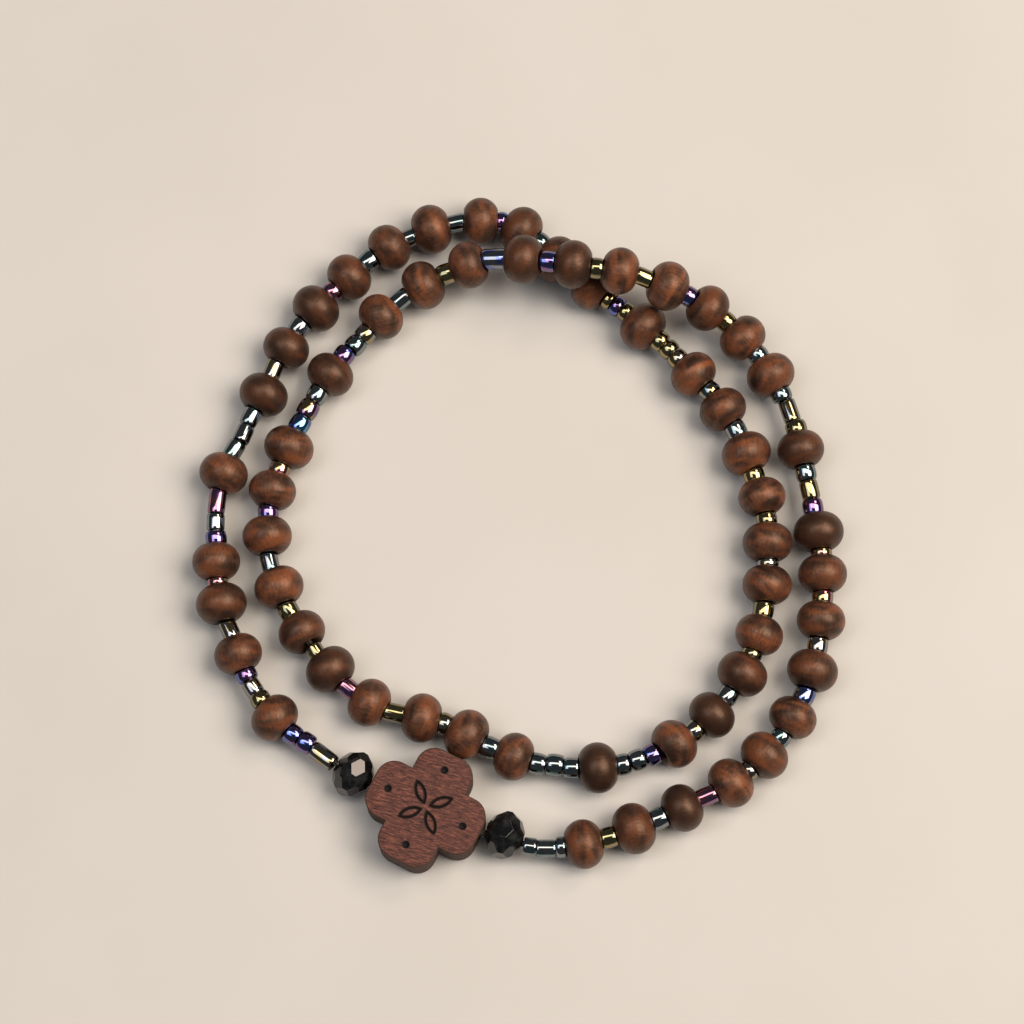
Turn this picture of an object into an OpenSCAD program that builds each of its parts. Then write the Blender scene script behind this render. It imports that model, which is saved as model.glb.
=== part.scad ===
// Wooden bead bracelet: one closed string of wood beads wound twice round the wrist, laid on a table.
// Units are millimetres. Z is up, the string lies on z = 0, and the wrist goes through along Z.

/* [Wood beads] */
// Diameter of a wood bead across its hole
wood_d = 5; // [4.6:0.1:5]
// Length of a wood bead along its hole
wood_l = 3.9; // [3.4:0.1:4]
// Diameter of the hole through a wood bead
wood_bore = 1.4; // [1.3:0.1:1.6]
// Diameter of the countersunk mouth that a seed bead sinks into
wood_mouth = 2.5; // [2:0.1:2.7]
// Depth of the countersunk mouth
wood_mouth_depth = 0.5; // [0.3:0.05:0.6]
// Largest shrinkage of a hand-sorted bead, as a share of its size
wood_spread = 0.06; // [0:0.01:0.08]
// Largest tilt of most beads on the thread, in degrees
wood_tilt = 3; // [0:1:5]
// Tilt of the few beads that the thread's bends leave askew, in degrees
wood_askew = 11; // [6:1:12]

/* [Faceted black beads] */
// Diameter of a black bead over its belt facets
black_d = 4.3; // [3.9:0.1:4.5]
// Length of a black bead along its hole
black_l = 4.1; // [3.8:0.1:4.2]
// Diameter of the hole through a black bead
black_bore = 1.4; // [1.3:0.1:1.6]
// How far the left black bead is turned round the thread, in degrees
left_turn = 15; // [0:1:22]
// How far the left black bead leans on the thread towards the cross, in degrees
left_lean = 9; // [0:1:9]
// How far the right black bead is turned round the thread, in degrees
right_turn = 11; // [0:1:22]

/* [Cross] */
// Length of the cross, the same along both arms
cross_l = 11.4; // [10.8:0.1:11.5]
// Width of an arm
cross_arm = 5.7; // [5.2:0.1:5.8]
// Thickness of the cross
cross_t = 4.6; // [4:0.1:4.8]
// Radius of the rounded corners at the arm ends
cross_r = 1.8; // [1:0.1:2.2]
// Diameter of the hole along one arm
cross_bore = 2; // [1.9:0.1:2.2]
// How far the arm is turned from the table's long side, in degrees
cross_turn = -27; // [-28:0.5:-24]
// Width of an engraved line
engraved_w = 0.28; // [0.2:0.02:0.4]
// Depth of an engraved line
engraved_t = 0.2; // [0.1:0.05:0.3]

/* [String] */
// Diameter of the thread
thread_d = 0.6; // [0.4:0.1:0.7]
// Free length between two wood beads with a small seed bead sunk into their mouths
gap_small = 0.35; // [0.3:0.05:0.4]
// Free length between two wood beads with a medium seed bead
gap_medium = 0.75; // [0.6:0.05:0.8]
// Free length between two wood beads with a round seed bead
gap_round = 1.15; // [1:0.05:1.2]
// Free length between two wood beads with a tube seed bead
gap_tube = 1.4; // [1.3:0.05:1.5]
// Free length between two wood beads with a long tube seed bead
gap_long = 1.9; // [1.8:0.05:2]
// Length of the three seed beads between the left black bead and the first wood bead
first_spacer = 5.4; // [5.2:0.1:5.6]
// Clear length between the cross and each black bead
black_gap = 0.2; // [0.2:0.05:0.3]

/* [Hidden] */

// The string in runs of wood beads, in the order along the thread from the left side of the cross.
// Columns: the seed bead in each gap of the run (s small, m medium, r round, t tube, l long tube),
// then the length of the three seed beads that follow the run. The last three take what is left.
RUN_GAPS = 0;
RUN_SPACER = 1;
runs = [
    ["", 3.4],
    ["ts", 5.1],
    ["", 5],
    ["trmrmrsmm", 2.6],
    ["", 3.1],
    ["mrmmsrsrm", 3.9],
    ["", 4.3],
    ["rmtrmrtmm", 4.6],
    ["", 3.9],
    ["trlrmrmmm", 4.3],
    ["", 4.6],
    ["smrrmstrr", 0],
];
FIRST_WRAP_BEADS = 29;

// Belt facets of a black bead
FACETS = 8;

// Middle of the cross on the table
CROSS_AT = [-9.25, -28.1];

// Heights of the thread in the cross and in a black bead, above that in a wood bead on the table
cross_lift = cross_t / 2 - wood_d / 2;
black_lift = black_d / 2 / cos(180 / FACETS) - wood_d / 2;

// The thread's route: x, y, and the height of its middle above that of a bead lying on the table.
// It starts at the cross, runs clockwise twice and climbs over its own first wrap at the far side.
route = [
    [-9.25, -28.25, cross_lift], [-14, -25.75, black_lift], [-16.75, -24.25, -0.15],
    [-24, -19, 0], [-27.5, -13, 0], [-29.5, -7, 0],
    [-30, -1, 0], [-29.5, 5, 0], [-26, 12.5, 0], [-23, 19, 0], [-18.5, 24.5, 0],
    [-12, 29.5, 0], [-5, 31.5, 0], [0, 30.5, 0], [4, 27, 0], [12, 20.5, 0],
    [17, 15.5, 0], [20.5, 10.75, 0], [23.5, 3.25, 0], [24, -4, 0], [23, -11, 0],
    [19.5, -17.5, 0], [14, -22, 0], [7, -24, 0], [-0.5, -23, 0], [-7.5, -19.75, 0],
    [-15, -17.5, 0], [-20.5, -12, 0], [-24, -5.5, 0], [-25, 1, 0], [-23, 8, 0],
    [-19, 15.5, 0], [-14, 21.5, 0.1], [-9, 25, 0.7], [-3, 26.5, 2.8], [4, 25.5, 4.6],
    [11, 24.5, 4.2], [17, 22.5, 2.4], [22.25, 18.75, 0.4], [26.25, 12.25, 0], [28, 5, 0],
    [29.25, -2.5, 0], [29, -10, 0], [27, -17.5, 0], [22, -24, 0], [15, -28, 0],
    [7.25, -31, 0], [1.5, -31.75, -0.1], [-1.5, -30.5, black_lift], [-4, -30.25, black_lift],
];

// Smooth closed curve through the route's points (each span is a cubic that leaves one point
// along the chord of its neighbours and reaches the next one in the same way).
SPAN_STEPS = 12;
function spline_point(a, b, c, d, t) =
    (2 * b + (c - a) * t + (2 * a - 5 * b + 4 * c - d) * t * t + (3 * b - a - 3 * c + d) * t * t * t) / 2;
function lifted(p) = [p.x, p.y, p.z + wood_d / 2];
function route_point(i) = lifted(route[(i + len(route)) % len(route)]);
track = [
    for (i = [0 : len(route) - 1], step = [0 : SPAN_STEPS - 1])
        spline_point(route_point(i - 1), route_point(i), route_point(i + 1), route_point(i + 2),
                     step / SPAN_STEPS)
];
function track_point(i) = track[i % len(track)];
// Distance along the curve of each of its points, and the length of the whole string
track_s = [
    for (i = 0, s = 0; i <= len(track); s = s + norm(track_point(i + 1) - track_point(i)), i = i + 1) s
];
string_l = track_s[len(track)];
x_of_s = [for (i = [0 : len(track)]) [track_s[i], track_point(i).x]];
y_of_s = [for (i = [0 : len(track)]) [track_s[i], track_point(i).y]];
z_of_s = [for (i = [0 : len(track)]) [track_s[i], track_point(i).z]];
function within(s) = s < 0 ? s + string_l : s >= string_l ? s - string_l : s;
function at(s) = [lookup(within(s), x_of_s), lookup(within(s), y_of_s), lookup(within(s), z_of_s)];

// Places of the pieces along the string, measured from the middle of the cross
black_s = cross_l / 2 + black_gap + black_l / 2;
first_wood_s = black_s + black_l / 2 + first_spacer + wood_l / 2;
GAP_KINDS = "smrtl";
gap_sizes = [gap_small, gap_medium, gap_round, gap_tube, gap_long];
function gap(kind) = gap_sizes[search(kind, GAP_KINDS)[0]];
function travelled(gaps, beads) = beads == 0 ? 0 : travelled(gaps, beads - 1) + wood_l + gap(gaps[beads - 1]);
function run_l(r) = travelled(runs[r][RUN_GAPS], len(runs[r][RUN_GAPS])) + wood_l + runs[r][RUN_SPACER];
run_s = [for (r = 0, s = first_wood_s; r < len(runs); s = s + run_l(r), r = r + 1) s];
wood_s = [
    for (r = [0 : len(runs) - 1], bead = [0 : len(runs[r][RUN_GAPS])])
        run_s[r] + travelled(runs[r][RUN_GAPS], bead)
];

// Turns what is drawn round Z so that Z runs along the string, and moves it to a place on it
GRIP = 1.5;
module on_string(s) {
    along = at(s + GRIP) - at(s - GRIP);
    translate(at(s)) rotate([0, acos(along.z / norm(along)), atan2(along.y, along.x)]) children();
}

// Hand-sorted differences between the wood beads, from 0 to 1, by a rule that never repeats nearby
function luck(i, step) = (1 + sin(i * step)) / 2;
SIZE_STEP = 137;
TILT_STEP = 83;
TURN_STEP = 61;

// Section of half a wood bead: a round cheek that the hole and its countersunk mouths cut into
ROUND = 48;
module wood_section() {
    cheek = wood_l / 2;
    hole = wood_bore / 2;
    mouth = wood_mouth / 2;
    difference() {
        intersection() {
            translate([wood_d / 2 - cheek, 0]) circle(r = cheek, $fn = ROUND);
            translate([hole, -wood_l]) square([wood_d, 2 * wood_l]);
        }
        for (side = [-1, 1])
            polygon([[hole - mouth, side * wood_l / 2], [mouth, side * wood_l / 2],
                     [hole, side * (wood_l / 2 - wood_mouth_depth)],
                     [hole - mouth, side * (wood_l / 2 - wood_mouth_depth)]]);
    }
}

// Numbers of the beads that lie askew, each with the way it leans round the thread, in degrees
ASKEW = [[25, 225], [32, 90]];
function lean(i) =
    let (found = search(i, ASKEW))
    found ? [ASKEW[found[0]][1], wood_askew] : [360 * luck(i, TURN_STEP), wood_tilt * luck(i, TILT_STEP)];

module wood_bead(i) {
    size = 1 - wood_spread * luck(i, SIZE_STEP);
    on_string(wood_s[i]) rotate([0, 0, lean(i)[0]]) rotate([lean(i)[1], 0, 0])
        scale(size) rotate_extrude($fn = ROUND) wood_section();
}

module wood_beads(first, last) {
    color("#6b3a24") for (i = [first : last]) wood_bead(i);
}

module wood_beads_first_wrap() {
    wood_beads(0, FIRST_WRAP_BEADS - 1);
}

module wood_beads_second_wrap() {
    wood_beads(FIRST_WRAP_BEADS, len(wood_s) - 1);
}

// A slab with two flat sides that face along X, as far apart as the thickness says
module slab(thickness) {
    cube([thickness, 3 * black_d, 3 * black_d], center = true);
}

// Round bead with eight belt facets, eight on each shoulder, eight on each crown and two flat ends
SHOULDER_ANGLE = 33;
SHOULDER_SHARE = 0.97;
CROWN_ANGLE = 60;
CROWN_SHARE = 0.89;
module black_bead(s, turned, leaning) {
    color("#15161a") on_string(s) rotate([0, -leaning, 0]) rotate([0, 0, turned]) difference() {
        intersection() {
            intersection_for (i = [0 : FACETS / 2 - 1])
                rotate([0, 0, i * 360 / FACETS]) slab(black_d);
            intersection_for (i = [0 : FACETS - 1])
                rotate([0, SHOULDER_ANGLE, (i + 0.5) * 360 / FACETS]) slab(black_d * SHOULDER_SHARE);
            intersection_for (i = [0 : FACETS - 1])
                rotate([0, CROWN_ANGLE, i * 360 / FACETS]) slab(black_d * CROWN_SHARE);
            rotate([0, 90, 0]) slab(black_l);
        }
        cylinder(d = black_bore, h = 2 * black_l, center = true, $fn = ROUND);
    }
}

module black_bead_left() {
    black_bead(black_s, left_turn, left_lean);
}

module black_bead_right() {
    black_bead(string_l - black_s, right_turn, 0);
}

// A bar with four round corners
module rounded_bar(l, w, r) {
    square([l - 2 * r, w], center = true);
    square([l, w - 2 * r], center = true);
    for (x = [-1, 1], y = [-1, 1])
        translate([x * (l / 2 - r), y * (w / 2 - r)]) circle(r = r, $fn = ROUND);
}

// A leaf between two arcs, and the line round it
PETAL_R = 1.7;
PETAL_W = 1.1;
module leaf(inset) {
    intersection_for (side = [-1, 1])
        translate([0, side * (PETAL_R - PETAL_W / 2)]) circle(r = PETAL_R - inset, $fn = ROUND);
}

module leaf_line() {
    difference() {
        leaf(0);
        leaf(engraved_w);
    }
}

// Plain flower of four leaves in the middle of the cross, and a dot on each arm
PETAL_REACH = 1.55;
DOT_REACH = 4;
DOT_D = 0.7;
module engraving() {
    for (turn = [0 : 90 : 270]) rotate(turn) {
        rotate(45) translate([PETAL_REACH, 0]) leaf_line();
        translate([DOT_REACH, 0]) circle(d = DOT_D, $fn = ROUND);
    }
}

module cross_pendant() {
    color("#6e3f3b") translate([CROSS_AT.x, CROSS_AT.y, 0]) rotate([0, 0, cross_turn]) difference() {
        linear_extrude(cross_t) for (turn = [0, 90]) rotate(turn) rounded_bar(cross_l, cross_arm, cross_r);
        translate([0, 0, cross_t / 2]) rotate([0, 90, 0])
            cylinder(d = cross_bore, h = 2 * cross_l, center = true, $fn = ROUND);
        translate([0, 0, cross_t - engraved_t]) linear_extrude(cross_t) engraving();
    }
}

// The thread is a closed tube: rings of points round the curve, joined by triangles
RINGS = 130;
SIDES = 8;
function unit(v) = v / norm(v);
function ring(i) =
    let (s = i * string_l / RINGS, along = unit(at(s + GRIP) - at(s - GRIP)),
         across = unit(cross(along, [0, 0, 1])), over = cross(across, along))
    [
        for (k = [0 : SIDES - 1], angle = k * 360 / SIDES)
            at(s) + thread_d / 2 * (cos(angle) * across + sin(angle) * over)
    ];
function corner(i, k) = (i % RINGS) * SIDES + k % SIDES;
module thread() {
    points = [for (i = [0 : RINGS - 1]) each ring(i)];
    faces = [
        for (i = [0 : RINGS - 1], k = [0 : SIDES - 1])
            each [[corner(i, k), corner(i, k + 1), corner(i + 1, k)],
                  [corner(i, k + 1), corner(i + 1, k + 1), corner(i + 1, k)]]
    ];
    color("#3a3431") polyhedron(points, faces);
}

cross_pendant();
black_bead_left();
black_bead_right();
wood_beads_first_wrap();
wood_beads_second_wrap();
thread();
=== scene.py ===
"""Looks of a wooden bead bracelet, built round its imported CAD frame.

One closed string of turned wood beads is wound twice. Small glass seed beads sit between the wood
beads, and a wooden cross hangs between two faceted black beads. Shapes are worked out in
millimetres along the same route as the solids, and turned to Blender's metres when a mesh is made.
"""

import logging
from collections.abc import Callable, Sequence
from dataclasses import dataclass, field
from enum import Enum
from functools import partial
from typing import Self

import bmesh
import bpy
import numpy as np
from mathutils import Matrix, Vector
from mathutils.geometry import delaunay_2d_cdt


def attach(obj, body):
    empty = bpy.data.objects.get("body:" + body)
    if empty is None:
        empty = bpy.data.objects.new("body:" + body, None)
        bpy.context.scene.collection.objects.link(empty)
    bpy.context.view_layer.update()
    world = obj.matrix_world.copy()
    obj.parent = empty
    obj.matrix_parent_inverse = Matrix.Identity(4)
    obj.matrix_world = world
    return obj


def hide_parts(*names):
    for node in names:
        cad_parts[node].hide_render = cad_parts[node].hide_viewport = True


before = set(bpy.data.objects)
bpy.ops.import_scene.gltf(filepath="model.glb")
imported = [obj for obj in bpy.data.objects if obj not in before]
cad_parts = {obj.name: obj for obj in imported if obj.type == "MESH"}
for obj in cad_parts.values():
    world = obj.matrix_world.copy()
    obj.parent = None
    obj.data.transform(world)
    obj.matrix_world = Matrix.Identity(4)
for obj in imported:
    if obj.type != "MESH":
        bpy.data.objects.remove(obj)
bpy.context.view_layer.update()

MM = 0.001
log = logging.getLogger("bracelet")

# The string in the order along the thread, from the left side of the cross. Each run of wood beads has
# a gap of a named size after each bead but its last, and three seed beads after the run. A seed bead is
# written as its one or two colours and its shape.
GAPS = {"s": 0.35, "m": 0.75, "r": 1.15, "t": 1.4, "l": 1.9}
FIRST_SPACER = 5.4
FIRST_SEEDS = "GSl Pr BPr"


@dataclass(frozen=True)
class Run:
    """Neighbouring wood beads and the seed beads between and after them.

    Args:
        gaps: One letter of GAPS for each gap inside the run.
        seeds: The seed bead in each of these gaps.
        spacer: Length that the seed beads after the run fill, or 0 for what is left of the string.
        spacer_seeds: These seed beads.
    """

    gaps: str
    seeds: str
    spacer: float
    spacer_seeds: str


RUNS = (
    Run("", "", 3.4, "Gr SGh BPr"),
    Run("ts", "SGh GKr", 5.1, "Pr Sh KPl"),
    Run("", "", 5.0, "Sh Sh Th"),
    Run("trmrmrsmm", "SGh Sr PKr Sr St St Pr Tr Gr", 2.6, "Gr Pr Gr"),
    Run("", "", 3.1, "Gr Gr GSr"),
    Run("mrmmsrsrm", "GTr STr Gr Gr SGr Gr Gr Sr GSr", 3.9, "Pr STr STr"),
    Run("", "", 4.3, "Tr Sr Sr"),
    Run("rmtrmrtmm", "Sr GSr Gt KPt Gh Or Sh Pr KGr", 4.6, "Cr PGr Sr"),
    Run("", "", 3.9, "Pr Sr GSr"),
    Run("trlrmrmmm", "Sh Gr SBb Pr Gr Gt BPr Or Tr", 4.3, "Tr SGl Gr"),
    Run("", "", 4.6, "Tr Gh Pr"),
    Run("smrrmstrr", "Kr GKr SGr BSr Sr GSr KPt Sr Gr", 0.0, "Tr Sl Sh"),
)
FIRST_WRAP_BEADS = 29

# Sizes in millimetres that the route or several pieces need, and the facets round a black bead
WOOD_DIAMETER = 5.0
BLACK_DIAMETER = 4.3
BLACK_FACETS = 8
CROSS_THICKNESS = 4.6
CROSS_LIFT = (CROSS_THICKNESS - WOOD_DIAMETER) / 2
BLACK_LIFT = BLACK_DIAMETER / 2 / float(np.cos(np.pi / BLACK_FACETS)) - WOOD_DIAMETER / 2

# Beads take their pattern from random places in a block of it, which reaches this far each way
PATTERN_REACH = 50.0

# The thread's route, as in the solids: x, y and the height above that of a bead lying on the floor
ROUTE = (
    (-9.25, -28.25, CROSS_LIFT), (-14, -25.75, BLACK_LIFT), (-16.75, -24.25, -0.15),
    (-24, -19, 0), (-27.5, -13, 0), (-29.5, -7, 0),
    (-30, -1, 0), (-29.5, 5, 0), (-26, 12.5, 0), (-23, 19, 0), (-18.5, 24.5, 0),
    (-12, 29.5, 0), (-5, 31.5, 0), (0, 30.5, 0), (4, 27, 0), (12, 20.5, 0),
    (17, 15.5, 0), (20.5, 10.75, 0), (23.5, 3.25, 0), (24, -4, 0), (23, -11, 0),
    (19.5, -17.5, 0), (14, -22, 0), (7, -24, 0), (-0.5, -23, 0), (-7.5, -19.75, 0),
    (-15, -17.5, 0), (-20.5, -12, 0), (-24, -5.5, 0), (-25, 1, 0), (-23, 8, 0),
    (-19, 15.5, 0), (-14, 21.5, 0.1), (-9, 25, 0.7), (-3, 26.5, 2.8), (4, 25.5, 4.6),
    (11, 24.5, 4.2), (17, 22.5, 2.4), (22.25, 18.75, 0.4), (26.25, 12.25, 0), (28, 5, 0),
    (29.25, -2.5, 0), (29, -10, 0), (27, -17.5, 0), (22, -24, 0), (15, -28, 0),
    (7.25, -31, 0), (1.5, -31.75, -0.1), (-1.5, -30.5, BLACK_LIFT), (-4, -30.25, BLACK_LIFT),
)


def linear(colour: str) -> tuple[float, float, float, float]:
    """Turns an sRGB hex colour to Blender's linear one.

    Args:
        colour: The colour as "#rrggbb".

    Returns:
        Red, green, blue and an alpha of 1.
    """
    shown = np.array([int(colour[i : i + 2], 16) for i in (1, 3, 5)]) / 255
    light = np.where(shown <= 0.04045, shown / 12.92, ((shown + 0.055) / 1.055) ** 2.4)
    return (*light.tolist(), 1.0)


def add_node(
    tree: bpy.types.NodeTree,
    kind: str,
    inputs: dict[str | int, object] | None = None,
    stops: Sequence[tuple[float, str]] = (),
    **settings: object,
) -> bpy.types.Node:
    """Adds one node with its settings and links.

    The sockets of a Mix node share their names. Its factor is input 0, its two colours are inputs 6
    and 7, and the mixed colour is output 2.

    Args:
        tree: Where the node goes.
        kind: Blender's name for the node.
        inputs: For each input's name or number, a value or the output that feeds it.
        stops: A colour ramp's places and hex colours.
        settings: The node's own settings.

    Returns:
        The new node.
    """
    node = tree.nodes.new(kind)
    for name, value in settings.items():
        setattr(node, name, value)
    for name, value in (inputs or {}).items():
        if isinstance(value, bpy.types.NodeSocket):
            tree.links.new(value, node.inputs[name])
        else:
            node.inputs[name].default_value = value
    if stops:
        ramp = node.color_ramp.elements
        while len(ramp) < len(stops):
            ramp.new(1.0)
        for element, (place, colour) in zip(ramp, stops):
            element.position = place
            element.color = linear(colour)
    return node


def new_material(name: str) -> tuple[bpy.types.Material, Callable[..., bpy.types.Node]]:
    """Makes an empty node material.

    Args:
        name: What the real material is.

    Returns:
        The material, and add_node for its node tree.
    """
    material = bpy.data.materials.new(name)
    material.use_nodes = True
    material.node_tree.nodes.clear()
    return material, partial(add_node, material.node_tree)


def finish_material(add: Callable[..., bpy.types.Node], inputs: dict[str | int, object]) -> None:
    """Ends a node tree in a Principled shader.

    Args:
        add: The material's add_node.
        inputs: Values and links of the shader.
    """
    shader = add("ShaderNodeBsdfPrincipled", inputs)
    add("ShaderNodeOutputMaterial", {"Surface": shader.outputs["BSDF"]})


def add_object(name: str, data: bpy.types.ID) -> bpy.types.Object:
    """Puts a new object in the scene, at the origin.

    Args:
        name: Its name.
        data: Its mesh, lamp or camera.

    Returns:
        The object.
    """
    thing = bpy.data.objects.new(name, data)
    bpy.context.scene.collection.objects.link(thing)
    return thing


def make_piece(
    name: str,
    points: np.ndarray,
    faces: list[list[int]],
    material: bpy.types.Material,
    sharp_angle: float = 40.0,
) -> bpy.types.Object:
    """Makes a smooth mesh object that rides on the part.

    Args:
        name: The piece's name.
        points: Its vertices in millimetres, one row each.
        faces: The vertex numbers of each face, counter-clockwise seen from outside.
        material: The piece's material.
        sharp_angle: Edges that turn by more degrees than this stay crisp.

    Returns:
        The new object, at the origin.
    """
    mesh = bpy.data.meshes.new(name)
    mesh.from_pydata((points * MM).tolist(), [], faces)
    mesh.materials.append(material)
    mesh.shade_smooth()
    mesh.set_sharp_from_angle(angle=np.radians(sharp_angle))
    piece = add_object(name, mesh)
    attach(piece, "root")
    log.info("%s: %d faces", name, len(mesh.polygons))
    return piece


def add_attribute(piece: bpy.types.Object, name: str, values: np.ndarray) -> None:
    """Gives each vertex a number or a vector that a material reads.

    Args:
        piece: The object.
        name: The attribute's name.
        values: One number or three numbers for each vertex.
    """
    kind, key = ("FLOAT", "value") if values.ndim == 1 else ("FLOAT_VECTOR", "vector")
    attribute = piece.data.attributes.new(name, kind, "POINT")
    attribute.data.foreach_set(key, values.astype(np.float32).ravel())


def grid_faces(rows: int, columns: int, ring: bool = True, copies: int = 1) -> np.ndarray:
    """Faces of a grid that closes round its columns, as a tube does.

    Args:
        rows: Points along the profile, the slower index.
        columns: Points around, the faster index.
        ring: Whether the last row also joins the first, as in a bead with a hole.
        copies: How many such grids follow each other.

    Returns:
        Four vertex numbers for each face.
    """
    steps = np.arange(rows if ring else rows - 1), np.arange(columns)
    row, column = (index.ravel() for index in np.meshgrid(*steps, indexing="ij"))
    here, above, beside = row * columns, (row + 1) % rows * columns, (column + 1) % columns
    faces = np.stack([here + column, here + beside, above + beside, above + column], axis=1)
    return (faces + rows * columns * np.arange(copies)[:, None, None]).reshape(-1, 4)


def circle(count: int, shift: float = 0.0) -> np.ndarray:
    """Angles in radians of equal steps round a turn, the first one shifted by a part of a step."""
    return 2 * np.pi * (np.arange(count) + shift) / count


def turn(axis: int, angle: np.ndarray | float) -> np.ndarray:
    """Rotation matrices about one coordinate axis.

    Args:
        axis: 0, 1 or 2 for X, Y or Z.
        angle: One angle in radians for each matrix.

    Returns:
        A stack of 3 by 3 matrices.
    """
    angle = np.atleast_1d(angle)
    i, j = (axis + 1) % 3, (axis + 2) % 3
    matrix = np.zeros((len(angle), 3, 3))
    matrix[:, axis, axis] = 1
    matrix[:, i, i] = matrix[:, j, j] = np.cos(angle)
    matrix[:, j, i] = np.sin(angle)
    matrix[:, i, j] = -np.sin(angle)
    return matrix


def luck(count: int, step: float) -> np.ndarray:
    """Differences from 0 to 1, by the same rule as the solids: half of one plus a sine."""
    return (1 + np.sin(np.radians(np.arange(count) * step))) / 2


@dataclass
class Strand:
    """The thread's closed route through every bead.

    Args:
        bead_height: Height of the thread in a bead that lies on the floor.
        steps: Points in each span of the curve.
        grip: How far before and after a place its direction is read.
    """

    bead_height: float = WOOD_DIAMETER / 2
    steps: int = 12
    grip: float = 1.5
    points: np.ndarray = field(init=False)
    travelled: np.ndarray = field(init=False)

    def __post_init__(self) -> None:
        """Works out the curve: each span is a cubic that leaves a point along its neighbours' chord."""
        b = np.array(ROUTE, float) + (0, 0, self.bead_height)
        a, c, d = np.roll(b, 1, 0), np.roll(b, -1, 0), np.roll(b, -2, 0)
        t = (np.arange(self.steps) / self.steps)[None, :, None]
        a, b, c, d = (p[:, None, :] for p in (a, b, c, d))
        curve = 2 * b + (c - a) * t + (2 * a - 5 * b + 4 * c - d) * t**2 + (3 * b - a - 3 * c + d) * t**3
        curve = (curve / 2).reshape(-1, 3)
        self.points = np.vstack([curve, curve[:1]])
        spans = np.linalg.norm(np.diff(self.points, axis=0), axis=1)
        self.travelled = np.concatenate([[0], np.cumsum(spans)])

    @property
    def length(self) -> float:
        """Length of the whole string."""
        return float(self.travelled[-1])

    def at(self, s: np.ndarray) -> np.ndarray:
        """Points of the curve at distances along it, straight between the curve's own points."""
        s = np.mod(s, self.length)
        return np.stack([np.interp(s, self.travelled, self.points[:, i]) for i in range(3)], axis=-1)

    def turned(self, s: np.ndarray) -> np.ndarray:
        """Frames that carry Z to the string's direction: a tip about Y, then a turn about Z.

        Args:
            s: Distances along the string.

        Returns:
            A rotation matrix for each distance.
        """
        along = self.at(s + self.grip) - self.at(s - self.grip)
        tip = np.arccos(along[:, 2] / np.linalg.norm(along, axis=1))
        return turn(2, np.arctan2(along[:, 1], along[:, 0])) @ turn(1, tip)


def placed(points: np.ndarray, turned: np.ndarray, at: np.ndarray) -> np.ndarray:
    """Carries each bead's own points to its place: each point times the bead's matrix, plus its place.

    Args:
        points: Points of every bead in its own frame, beads by any grid by 3.
        turned: One rotation matrix for each bead.
        at: One place for each bead.

    Returns:
        One row for each point of all beads.
    """
    flat = points.reshape(len(points), -1, 3)
    return (np.einsum("nij,nkj->nki", turned, flat) + at[:, None, :]).reshape(-1, 3)


def revolved(profile: np.ndarray, around: int, swell: np.ndarray) -> np.ndarray:
    """Turns profiles round the Z axis: x = r cos a, y = r sin a, z as it is, with r swollen by a factor.

    Args:
        profile: Radius and height of each profile point of each bead.
        around: Points in a turn.
        swell: The factor for each bead, profile point and angle.

    Returns:
        Beads by profile points by angles by 3.
    """
    angle = circle(around)
    radius, height = profile[:, :, 0, None] * swell, profile[:, :, 1, None] * np.ones(around)
    return np.stack([radius * np.cos(angle), radius * np.sin(angle), height], axis=-1)


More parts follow.
